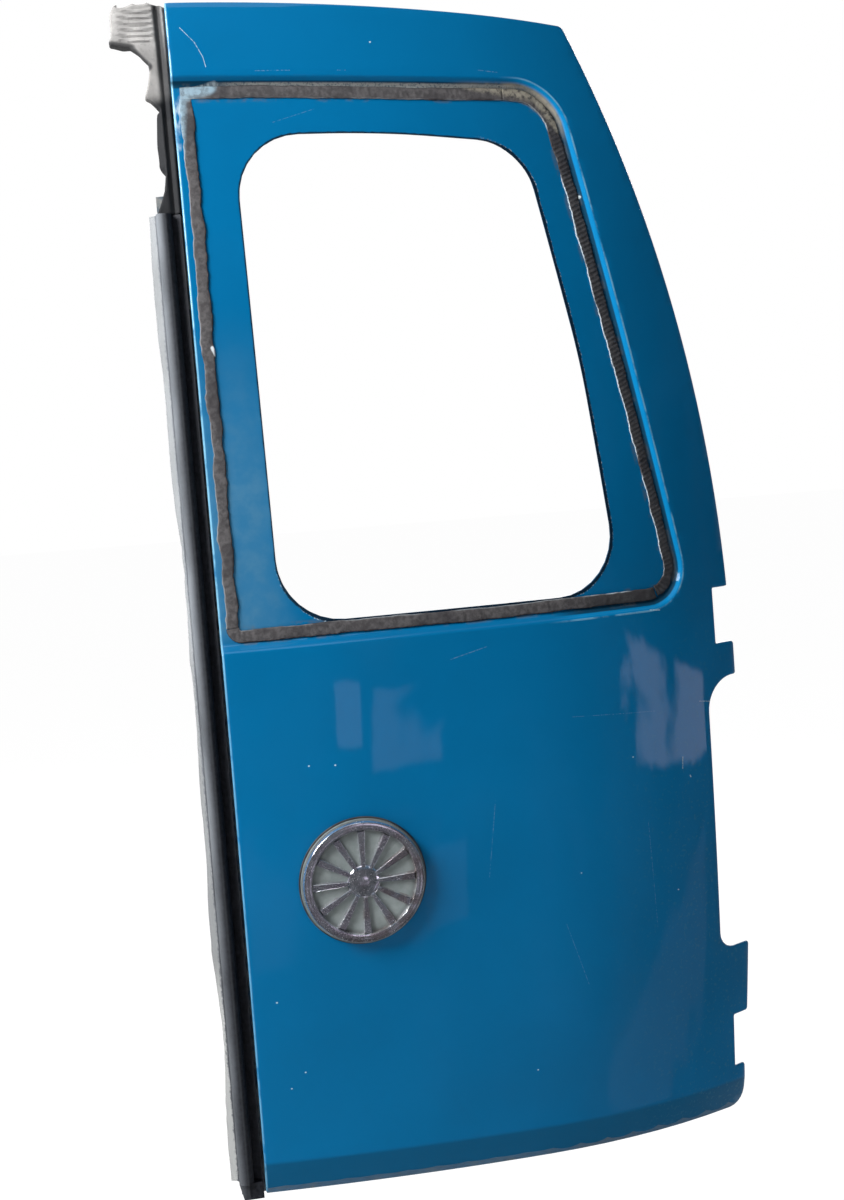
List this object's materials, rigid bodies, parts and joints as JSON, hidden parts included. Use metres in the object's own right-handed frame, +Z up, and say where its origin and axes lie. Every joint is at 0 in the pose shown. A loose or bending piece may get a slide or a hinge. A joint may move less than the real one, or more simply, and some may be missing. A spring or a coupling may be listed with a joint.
{
  "type": "campervan rear barn door",
  "caption": "Narrow right-hand rear barn door shell of a compact van, with window aperture, hinge seats, edge seal and inner panel.",
  "frame": {"origin": "centre of the lower hinge seat on the inner panel's hinge-side wall", "axes": "+X out of the hinge seat, away from the free edge; +Y from the outer face into the van; +Z up the door"},
  "size_m": [0.617, 0.1645, 1.2151],
  "materials": {
    "paint_outer": "gloss",
    "paint_inner": "satin",
    "rail_metal": "satin",
    "seal_rubber": "matte",
    "moulded_corner": "matte",
    "adhesive": "matte",
    "plug_rubber": "matte",
    "emblem_grey": "satin",
    "bright_trim": "polished",
    "bare_steel": "satin",
    "zinc_nuts": "satin",
    "damping": "matte"
  },
  "bodies": {
    "root": {"outer_skin": "paint_outer", "inner_panel": "paint_inner", "meeting_rail": "rail_metal", "edge_seal": "seal_rubber", "seal_top_corner": "moulded_corner", "seal_bottom_end": "seal_rubber", "adhesive_top": "adhesive", "adhesive_right": "adhesive", "adhesive_bottom": "adhesive", "adhesive_left": "adhesive", "emblem_gasket": "plug_rubber", "emblem_base": "emblem_grey", "emblem_ring": "bright_trim", "emblem_motif": "bright_trim", "upper_hinge_plate": "bare_steel", "lower_hinge_plate": "bare_steel", "upper_hinge_nuts": "zinc_nuts", "lower_hinge_nuts": "zinc_nuts", "upper_latch_plate": "bare_steel", "lower_latch_plate": "bare_steel", "release_lever_plate": "bare_steel", "belt_stiffener": "paint_inner", "lower_stiffener": "paint_inner", "mastic_pads": "damping", "sound_pad": "damping", "trim_plugs": "plug_rubber", "bump_stops": "plug_rubber", "wiring_grommet": "plug_rubber", "check_strap_bracket": "bare_steel"}
  },
  "joints": []
}
